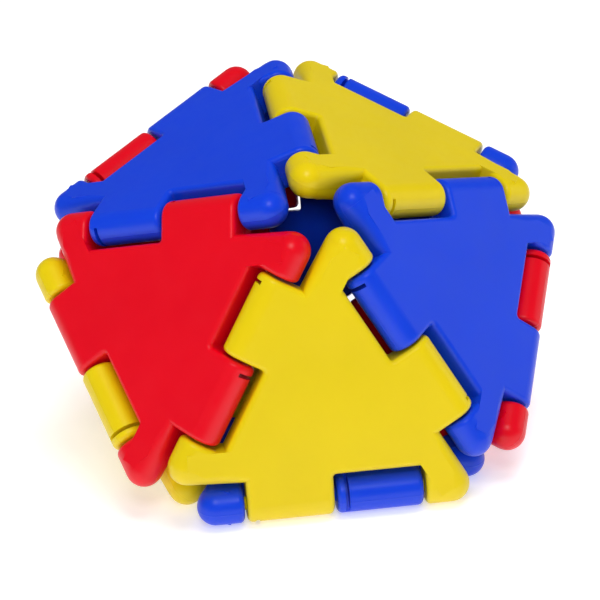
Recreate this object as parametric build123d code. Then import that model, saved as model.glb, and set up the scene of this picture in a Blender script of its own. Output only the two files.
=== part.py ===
"""Ball of ten hinged triangular panels: a closed pentagonal bipyramid of snap-together plastic triangles.

Frame: millimetres, +Z up, standing on the flat outer face of the bottom panel, whose front hinge runs along X.
The origin is the bottom centre of the ball's bounding box.

The five upper panels meet at the top corner and the five lower panels at the bottom corner. Panel n of each
ring shares the ball's waist edge n, and both rings are counted clockwise as seen from above the top corner.
"""
from build123d import *
import math
import os

# Driving dimensions of one panel (mm)
EDGE = 50.0              # side of a panel, from corner to corner of its hinge lines
TAB_R = 2.8              # radius of a hinge tab, and half the panel's thickness
NOTCH_DEPTH = 3.7        # from the hinge line in to the floor of a notch
CORNER_SHARE = 0.235     # part of a side taken by the corner finger, and by the half notch at its far end
END_GAP = 0.4            # play between the end faces of two neighbouring tabs
NOTCH_CORNER_R = 0.5     # plan radius in the corners of a notch
EDGE_ROUND = 0.8         # round on the rims of notches, tabs and fingers
DOME_SET_IN = 0.01       # a corner finger's domed tip is this much smaller than the tab that it ends
DOME_ROUND = 2.7         # round on the rims of a half notch's floor beside the dome, fading to the edge round
FLOOR_BACK = 5.0         # how far the floor of a half notch is built back into the panel
FLOOR_OVERLAP = 1.5      # the panel behind that floor starts this much deeper

# Snap: a springy disc with a nub at one end of each full tab, and dimples in the other end faces
DISC_THICKNESS = 1.2
SLOT_WIDTH = 0.6
SLOT_INNER_REACH = 2.4   # slot floor at the panel's inner face, measured in from the hinge line
SLOT_SLOPE = 1.04        # how much the slot floor recedes per mm toward the outer face
NUB_R = 1.1
NUB_TIP_R = 0.45
NUB_HEIGHT = 0.9
DIMPLE_R = 0.95
DIMPLE_FLOOR_R = 0.6
DIMPLE_DEPTH = 0.65

# The ball
RING = 5
UPPER_COLOURS = ("yellow", "red", "blue", "yellow", "blue")
LOWER_COLOURS = ("blue", "yellow", "red", "blue", "red")
MIDDLE_DISC_PANELS = ("upper_panel_2_red", "lower_panel_1_blue")   # moulded with the disc at the side's middle

CORNER_RADIUS = EDGE / math.sqrt(3)                      # panel centre to corner
INRADIUS = CORNER_RADIUS / 2                             # panel centre to hinge line
FINGER_END = EDGE * CORNER_SHARE - END_GAP / 2           # along a side, from its first corner
TAB_START = EDGE / 2 + END_GAP / 2
TAB_END = EDGE * (1 - CORNER_SHARE) - END_GAP / 2
DOME_PLACE = (NOTCH_DEPTH + TAB_R) / math.sin(math.radians(60))   # along a side, to the centre of its dome
WAIST_R = EDGE / (2 * math.sin(math.pi / RING))          # ball's axis to a waist corner
APEX_HEIGHT = math.sqrt(EDGE ** 2 - WAIST_R ** 2)        # waist plane to the top or bottom corner
LEAN = math.degrees(math.atan2(APEX_HEIGHT, WAIST_R * math.cos(math.pi / RING)))


# ---- one panel, lying in XY round its centre, with its outer face up ----

def corner(index):
    """Corner of the triangle of hinge lines, counted clockwise as seen from outside the ball."""
    angle = math.radians(90 - 120 * index)
    return Vector(CORNER_RADIUS * math.cos(angle), CORNER_RADIUS * math.sin(angle), 0)


def side_frame(side):
    """Frame on a hinge line: X runs clockwise from the side's first corner, Y inward, Z into the ball."""
    return Plane(origin=corner(side), x_dir=corner(side + 1) - corner(side), z_dir=(0, 0, -1))


def rounded_blank():
    """Triangular plate with a full round along each hinge line."""
    blank = extrude(make_face(Polyline(corner(0), corner(1), corner(2), close=True)), TAB_R, both=True)
    for side in range(3):
        middle = (corner(side) + corner(side + 1)) * 0.5
        blank += Plane(origin=middle, z_dir=corner(side + 1) - corner(side)) * Cylinder(TAB_R, EDGE + 4 * TAB_R)
    return blank


def notch_plan(start, end, depth):
    """Plan of a notch between two places along a side, open on its outer side."""
    return Pos((start + end) / 2, depth - EDGE / 2) * Rectangle(end - start, EDGE)


def is_hollow(plan, vertex):
    """True where the plan's outline turns inward, as in the corner of a notch."""
    around = [vertex + Vector(0.2, 0, 0).rotate(Axis.Z, 15 + 30 * step) for step in range(12)]
    return sum(plan.is_inside(point) for point in around) > 6


def panel_plan():
    """Plan of a panel: each side has a corner finger, a notch, a full tab and a half notch, going clockwise.
    The fingers end at the centres of their domes."""
    scale = (INRADIUS + 2 * TAB_R) / INRADIUS
    plan = make_face(Polyline(*[corner(index) * scale for index in range(3)], close=True))
    for side in range(3):
        plan -= side_frame(side) * notch_plan(FINGER_END, TAB_START, NOTCH_DEPTH)
    plan = fillet([vertex for vertex in plan.vertices() if is_hollow(plan, vertex)], NOTCH_CORNER_R)
    for side in range(3):
        plan -= side_frame(side) * notch_plan(TAB_END, TAB_END + EDGE, NOTCH_DEPTH + FLOOR_OVERLAP)
        plan -= side_frame(side) * (Pos(DOME_PLACE - EDGE / 2, 0) * Rectangle(EDGE, 4 * TAB_R))
    return plan


def is_wall(face):
    """True for a face that stands square to the panel: a notch floor, a tab's end or a finger's tip."""
    if face.geom_type == GeomType.PLANE:
        return abs(face.normal_at().Z) < 0.01
    return face.geom_type == GeomType.CYLINDER and abs(face.axis_of_rotation.direction.Z) > 0.99


def is_upright(edge):
    """True for a straight edge through the panel's thickness."""
    return edge.geom_type == GeomType.LINE and abs((edge % 0.5).Z) > 0.99


def dome_centre(side):
    """Centre of the domed tip of a side's corner finger."""
    return side_frame(side).from_local_coords((DOME_PLACE, 0, 0))


def is_clear_of_domes(face):
    """True for a face that no dome will cover."""
    return min(face.distance_to(Vertex(*dome_centre(side))) for side in range(3)) > TAB_R


def floor_section(side, place, radius):
    """Section through the floor of a half notch at a place along its side, with round rims."""
    frame = side_frame(side)
    plane = Plane(origin=frame.from_local_coords((place, 0, 0)), x_dir=frame.y_dir, z_dir=frame.x_dir)
    section = Pos(NOTCH_DEPTH + FLOOR_BACK / 2, 0) * Rectangle(FLOOR_BACK, 2 * TAB_R)
    return plane * fillet(section.vertices().sort_by(Axis.X)[:2], radius)


def half_notch_floor(side):
    """Floor of a half notch, whose rims open out to meet the dome of the next side's finger."""
    beside_dome = floor_section(side, EDGE - DOME_PLACE / 2, DOME_ROUND)
    inside_tab = floor_section(side, TAB_END - 2 * EDGE_ROUND, EDGE_ROUND)
    return loft([inside_tab, beside_dome], ruled=True)


def panel_body():
    """Panel with its fingers, tabs and notches and all rims rounded, before the snaps."""
    body = rounded_blank() & extrude(panel_plan(), EDGE / 2, both=True)
    walls = [face for face in body.faces() if is_wall(face) and is_clear_of_domes(face)]
    rims = [edge for face in walls for edge in face.edges() if not is_upright(edge)]
    body = fillet(rims, EDGE_ROUND)
    for side in range(3):
        body += half_notch_floor(side)
        body += Pos(*dome_centre(side)) * Sphere(TAB_R - DOME_SET_IN)
    return body


def along_side(side, place, toward):
    """Frame on a hinge line at a place along the side, with Z along the side: toward is 1 clockwise, or -1."""
    frame = side_frame(side)
    return Plane(origin=frame.from_local_coords((place, 0, 0)), x_dir=frame.y_dir, z_dir=frame.x_dir * toward)


def slot(side, middle):
    """Cutter for the slot that frees the springy disc. Its floor slants, so that it opens on the tab's round
    and on the inner face but leaves the outer face whole."""
    far = 2 * TAB_R
    inner_y = SLOT_INNER_REACH + SLOT_SLOPE * (far - TAB_R)
    outer_z = far - (inner_y + far) / SLOT_SLOPE
    frame = side_frame(side)
    section_plane = Plane(origin=frame.from_local_coords((middle, 0, 0)), x_dir=frame.y_dir, z_dir=frame.x_dir)
    section = Polyline((-far, outer_z), (inner_y, far), (-far, far), close=True)
    return extrude(section_plane * make_face(section), SLOT_WIDTH / 2, both=True)


def nub(side, place, toward):
    """Snap nub standing on a disc."""
    cone = Pos(0, 0, NUB_HEIGHT / 2) * Cone(NUB_R, NUB_TIP_R, NUB_HEIGHT)
    return along_side(side, place, toward) * cone


def dimple(side, place, toward):
    """Cutter for a dimple in an end face that looks the way toward gives."""
    cone = Pos(0, 0, DIMPLE_DEPTH / 2) * Cone(DIMPLE_R, DIMPLE_FLOOR_R, DIMPLE_DEPTH)
    return along_side(side, place, -toward) * cone


def panel(body, disc_at_middle, clipped_sides):
    """A finished panel. Only the sides that are clipped to a neighbour have their nubs standing out."""
    inset = DISC_THICKNESS + SLOT_WIDTH / 2
    for side in range(3):
        body -= dimple(side, FINGER_END, 1)
        if disc_at_middle:
            disc_end, slot_middle, plain_end, toward = TAB_START, TAB_START + inset, TAB_END, -1
        else:
            disc_end, slot_middle, plain_end, toward = TAB_END, TAB_END - inset, TAB_START, 1
        body -= dimple(side, plain_end, -toward)
        body -= slot(side, slot_middle)
        if side in clipped_sides:
            body += nub(side, disc_end, toward)
    return body


# ---- the ball ----

def ball_corner(radius, height, azimuth):
    """Corner of the ball, leaning so that the bottom panel lies level with its outer face down."""
    upright = Vector(radius, 0, height).rotate(Axis.Z, azimuth)
    return upright.rotate(Axis.X, LEAN)


def waist_corner(index):
    """Corner of the ball's waist, counted clockwise as seen from above."""
    return ball_corner(WAIST_R, 0, -90 + 180 / RING - index * 360 / RING)


def panel_location(first, second, third):
    """Place of a panel whose corners, clockwise as seen from outside, are at three corners of the ball."""
    centre = (first + second + third) * (1 / 3)
    outward = (third - first).cross(second - first)
    y_dir = first - centre
    return Plane(origin=centre, x_dir=y_dir.cross(outward), z_dir=outward).location


def ball_panels():
    """Every panel in its place, by name."""
    top = ball_corner(0, APEX_HEIGHT, 0)
    bottom = ball_corner(0, -APEX_HEIGHT, 0)
    body = panel_body()
    panels = {}
    for index in range(RING):
        here, following = waist_corner(index), waist_corner(index + 1)
        name = f"upper_panel_{index + 1}_{UPPER_COLOURS[index]}"
        shape = panel(body, name in MIDDLE_DISC_PANELS, clipped_sides=(1,))
        panels[name] = panel_location(top, here, following) * shape
        name = f"lower_panel_{index + 1}_{LOWER_COLOURS[index]}"
        # The lower ring is open between its third and fourth panels.
        clipped = {2: (1, 2), 3: (0, 1)}.get(index, (0, 1, 2))
        shape = panel(body, name in MIDDLE_DISC_PANELS, clipped)
        panels[name] = panel_location(bottom, following, here) * shape
    return panels


def ball_offset(panels):
    """Move that puts the bottom centre of the ball's bounding box at the origin."""
    box = Compound([solid for shape in panels.values() for solid in shape.solids()]).bounding_box()
    return Vector(-(box.min.X + box.max.X) / 2, -(box.min.Y + box.max.Y) / 2, -box.min.Z)


panels = ball_panels()
offset = ball_offset(panels)
os.makedirs("parts", exist_ok=True)
for name, shape in panels.items():
    export_step(Location(offset) * shape, f"parts/{name}.step")
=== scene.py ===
import math

import bpy
from mathutils import Matrix, Vector


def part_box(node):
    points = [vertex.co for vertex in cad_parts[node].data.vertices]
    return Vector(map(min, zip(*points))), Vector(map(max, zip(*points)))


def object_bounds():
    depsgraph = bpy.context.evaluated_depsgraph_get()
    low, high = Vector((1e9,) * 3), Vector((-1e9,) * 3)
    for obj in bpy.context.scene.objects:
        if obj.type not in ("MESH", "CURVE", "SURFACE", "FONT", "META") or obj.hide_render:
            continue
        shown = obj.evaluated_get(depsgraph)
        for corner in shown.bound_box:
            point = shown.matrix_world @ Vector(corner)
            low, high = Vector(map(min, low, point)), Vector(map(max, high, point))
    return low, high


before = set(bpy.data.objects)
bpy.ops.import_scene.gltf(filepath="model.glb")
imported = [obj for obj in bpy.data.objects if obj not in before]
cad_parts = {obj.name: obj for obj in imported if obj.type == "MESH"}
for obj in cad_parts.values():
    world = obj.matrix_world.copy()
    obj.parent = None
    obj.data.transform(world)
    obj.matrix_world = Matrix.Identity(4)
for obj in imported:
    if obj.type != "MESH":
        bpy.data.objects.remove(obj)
cad_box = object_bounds()

MM = 0.001
BALL_MIDDLE = (Vector(cad_box[0]) + Vector(cad_box[1])) / 2

# Mould colours of the panels, as sRGB
MOULD_COLOURS = {"yellow": "#E8CE08", "red": "#E6001C", "blue": "#0C42DE"}
DEEP_TONE = 0.88           # darkest part of the mottle, as a share of the mould colour

# Real sizes of the plastic's patterns (mm)
MOTTLE_SIZE = 14
SCUFF_SIZE = 3.5
WAVE_SIZE = 16
GRAIN_SIZE = 1.1

# Relief of the plastic (mm)
WAVE_HEIGHT = 0.25
GRAIN_HEIGHT = 0.003
PARTING_HEIGHT = 0.03
PARTING_CREST = 0.04       # from the middle of the thickness to where the parting line starts to fall
PARTING_FOOT = 0.16        # and to where it ends

# Gloss and glow of the plastic
POLISHED = 0.28            # roughness where the mould's polish is untouched
SCUFFED = 0.4              # roughness where hands have dulled it
PLASTIC_IOR = 1.4          # a little under that of ABS, for reflections as soft as a toy's
GLOW_SHARE = 0.3           # part of the light that goes into the plastic before it comes back
GLOW_DEPTH = 2 * MM
LEAST_GLOW = 0.1           # added to each colour's own share of that depth, so none stops at the surface

# Table (m)
TABLE_SIZE = 6.0
SPECKLES_PER_METRE = 400.0

# Camera, round a point near the middle of the ball
AIM = Vector((-0.74, -2.56, 21.97)) * MM
CAMERA_DISTANCE = 0.30795  # m
CAMERA_AZIMUTH = 6.96      # degrees
CAMERA_ELEVATION = 26.17
CAMERA_ROLL = -2.138
LENS = 119.3               # mm


# ---- colours and nodes ----

def linear(hex_colour):
    """An sRGB hex colour as linear RGBA."""
    channels = [int(hex_colour[i:i + 2], 16) / 255 for i in (1, 3, 5)]
    return [c / 12.92 if c <= 0.04045 else ((c + 0.055) / 1.055) ** 2.4 for c in channels] + [1.0]


def add_node(tree, kind, inputs=None, **settings):
    """A node of a kind, with its settings, and its inputs given as values or as sockets to link from."""
    node = tree.nodes.new(kind)
    for name, value in settings.items():
        setattr(node, name, value)
    for name, value in (inputs or {}).items():
        if isinstance(value, bpy.types.NodeSocket):
            tree.links.new(value, node.inputs[name])
        else:
            node.inputs[name].default_value = value
    return node


# ---- panel plastic ----

def flat_direction(node):
    """Direction square to a panel's flat faces: the one that most of its area looks along."""
    areas = {}
    for face in node.data.polygons:
        key = tuple(round(c, 2) for c in face.normal)
        areas[key] = areas.get(key, 0) + face.area
    return Vector(max(areas, key=areas.get)).normalized()


def panel_frame(node):
    """Turn and centre of a panel: its own Z is square to its flat faces and looks out of the ball."""
    outward = flat_direction(node)
    low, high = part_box(node.name)
    centre = (Vector(low) + Vector(high)) / 2
    depths = [vertex.co.dot(outward) for vertex in node.data.vertices]
    centre += outward * ((min(depths) + max(depths)) / 2 - centre.dot(outward))
    if outward.dot(centre - BALL_MIDDLE) < 0:
        outward.negate()
    return outward.to_track_quat("Z", "Y").to_euler(), centre


def plastic_relief(tree, local):
    """Height of the plastic in mm: slow sink waves over the thick flats, a fine grain, and the parting line
    of the two mould halves, which stands proud round the middle of every edge."""
    wave = add_node(tree, "ShaderNodeTexNoise", {"Vector": local, "Scale": 1 / WAVE_SIZE, "Detail": 1.0})
    grain = add_node(tree, "ShaderNodeTexNoise", {"Vector": local, "Scale": 1 / GRAIN_SIZE, "Detail": 2.0})
    height_axis = add_node(tree, "ShaderNodeSeparateXYZ", {"Vector": local}).outputs["Z"]
    from_middle = add_node(tree, "ShaderNodeMath", {0: height_axis}, operation="ABSOLUTE").outputs[0]
    parting_line = add_node(tree, "ShaderNodeMapRange", {
        "Value": from_middle, "From Min": PARTING_CREST, "From Max": PARTING_FOOT,
        "To Min": PARTING_HEIGHT, "To Max": 0.0}, interpolation_type="SMOOTHSTEP").outputs[0]
    waves_and_line = add_node(tree, "ShaderNodeMath", {
        0: wave.outputs["Fac"], 1: WAVE_HEIGHT, 2: parting_line}, operation="MULTIPLY_ADD").outputs[0]
    return add_node(tree, "ShaderNodeMath", {
        0: grain.outputs["Fac"], 1: GRAIN_HEIGHT, 2: waves_and_line}, operation="MULTIPLY_ADD").outputs[0]


def moulded_plastic(name, colour, turn, place):
    """Injection-moulded ABS from a polished mould: saturated right through and a little translucent, satin to
    glossy, with a faint mottle in its colour and light handling scuffs."""
    material = bpy.data.materials.new(name)
    material.use_nodes = True
    tree = material.node_tree
    tree.nodes.clear()
    coordinates = add_node(tree, "ShaderNodeTexCoord")
    local = add_node(tree, "ShaderNodeMapping", {
        "Vector": coordinates.outputs["Object"], "Location": place, "Rotation": turn, "Scale": (MM, MM, MM),
    }, vector_type="TEXTURE").outputs["Vector"]      # millimetres in the panel's own frame

    mottle = add_node(tree, "ShaderNodeTexNoise", {"Vector": local, "Scale": 1 / MOTTLE_SIZE, "Detail": 3.0})
    full_tone = linear(colour)
    deep_tone = [c * DEEP_TONE for c in full_tone[:3]] + [1.0]
    base = add_node(tree, "ShaderNodeMix", {
        "Factor": mottle.outputs["Fac"], "A": deep_tone, "B": full_tone}, data_type="RGBA")

    scuffs = add_node(tree, "ShaderNodeTexNoise", {
        "Vector": local, "Scale": 1 / SCUFF_SIZE, "Detail": 6.0, "Roughness": 0.6})
    roughness = add_node(tree, "ShaderNodeMapRange", {
        "Value": scuffs.outputs["Fac"], "From Min": 0.35, "From Max": 0.7,
        "To Min": POLISHED, "To Max": SCUFFED})

    bump = add_node(tree, "ShaderNodeBump", {
        "Height": plastic_relief(tree, local), "Distance": MM, "Strength": 1.0})
    shader = add_node(tree, "ShaderNodeBsdfPrincipled", {
        "Base Color": base.outputs["Result"], "Roughness": roughness.outputs[0], "IOR": PLASTIC_IOR,
        "Subsurface Weight": GLOW_SHARE, "Subsurface Radius": [c + LEAST_GLOW for c in full_tone[:3]],
        "Subsurface Scale": GLOW_DEPTH, "Normal": bump.outputs["Normal"]})
    add_node(tree, "ShaderNodeOutputMaterial", {"Surface": shader.outputs[0]})
    return material


def finish_panels():
    """Every panel in its own colour, with a pattern that follows the panel."""
    for name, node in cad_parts.items():
        turn, place = panel_frame(node)
        colour = MOULD_COLOURS[name.rsplit("_", 1)[1]]
        node.data.materials.clear()
        node.data.materials.append(moulded_plastic(f"moulded_abs_{name}", colour, turn, place))


# ---- table, lights and camera ----

def table_top():
    """White opal acrylic, softly lit from below, seen only as a pale ground."""
    bpy.ops.object.select_all(action="DESELECT")
    bpy.ops.mesh.primitive_plane_add(size=TABLE_SIZE, location=(0, 0, 0))
    top = bpy.context.object
    top.name = "table_top"
    material = bpy.data.materials.new("white_opal_acrylic")
    material.use_nodes = True
    tree = material.node_tree
    shader = tree.nodes["Principled BSDF"]
    coordinates = add_node(tree, "ShaderNodeTexCoord").outputs["Object"]
    speckle = add_node(tree, "ShaderNodeTexNoise", {"Vector": coordinates, "Scale": SPECKLES_PER_METRE})
    tone = add_node(tree, "ShaderNodeMix", {
        "Factor": speckle.outputs["Fac"], "A": linear("#F4F4F4"), "B": linear("#FAFAFA")}, data_type="RGBA")
    tree.links.new(tone.outputs["Result"], shader.inputs["Base Color"])
    tree.links.new(tone.outputs["Result"], shader.inputs["Emission Color"])
    shader.inputs["Emission Strength"].default_value = 0.4
    shader.inputs["Roughness"].default_value = 0.7
    top.data.materials.append(material)


def white_tent():
    """Even white surroundings."""
    world = bpy.data.worlds.new("white_tent")
    world.use_nodes = True
    background = world.node_tree.nodes["Background"]
    background.inputs["Color"].default_value = linear("#FFFFFF")
    background.inputs["Strength"].default_value = 0.17
    bpy.context.scene.world = world


def softbox(name, place, size, power, glare=True):
    """A square soft light, aimed at the ball. Without glare it is polarised: no reflection shows it."""
    light = bpy.data.lights.new(name, "AREA")
    light.size = size
    light.energy = power
    lamp = bpy.data.objects.new(name, light)
    lamp.location = place
    lamp.visible_glossy = glare
    lamp.rotation_euler = (AIM - Vector(place)).to_track_quat("-Z", "Y").to_euler()
    bpy.context.scene.collection.objects.link(lamp)


def studio_lights():
    """A small key high in front for the round highlights, and broad fills that lift each side of the ball."""
    softbox("key_softbox", (-0.06, -0.40, 0.60), 0.24, 1.1)
    softbox("overhead_softbox", (0.15, 0.05, 0.9), 0.5, 4.5, glare=False)
    softbox("front_lamp", (-0.10, -0.80, 0.45), 0.12, 1.8, glare=False)
    softbox("left_fill", (-0.75, -0.5, 0.15), 0.4, 1.25, glare=False)
    softbox("right_card", (0.78, 0.02, 0.24), 0.4, 0.34)
    softbox("back_fill", (0.3, 0.9, 0.4), 0.5, 1.5, glare=False)


def camera():
    """Long lens, looking down at the front of the ball."""
    azimuth, elevation = math.radians(CAMERA_AZIMUTH), math.radians(CAMERA_ELEVATION)
    level = math.cos(elevation)
    forward = Vector((math.sin(azimuth) * level, math.cos(azimuth) * level, -math.sin(elevation)))
    turn = forward.to_track_quat("-Z", "Y").to_matrix() @ Matrix.Rotation(math.radians(CAMERA_ROLL), 3, "Z")
    data = bpy.data.cameras.new("camera")
    data.lens = LENS
    data.clip_start = 0.01
    eye = bpy.data.objects.new("camera", data)
    eye.matrix_world = Matrix.Translation(AIM - forward * CAMERA_DISTANCE) @ turn.to_4x4()
    bpy.context.scene.collection.objects.link(eye)
    bpy.context.scene.camera = eye


finish_panels()
table_top()
white_tent()
studio_lights()
camera()
bpy.context.scene.view_settings.view_transform = "Standard"
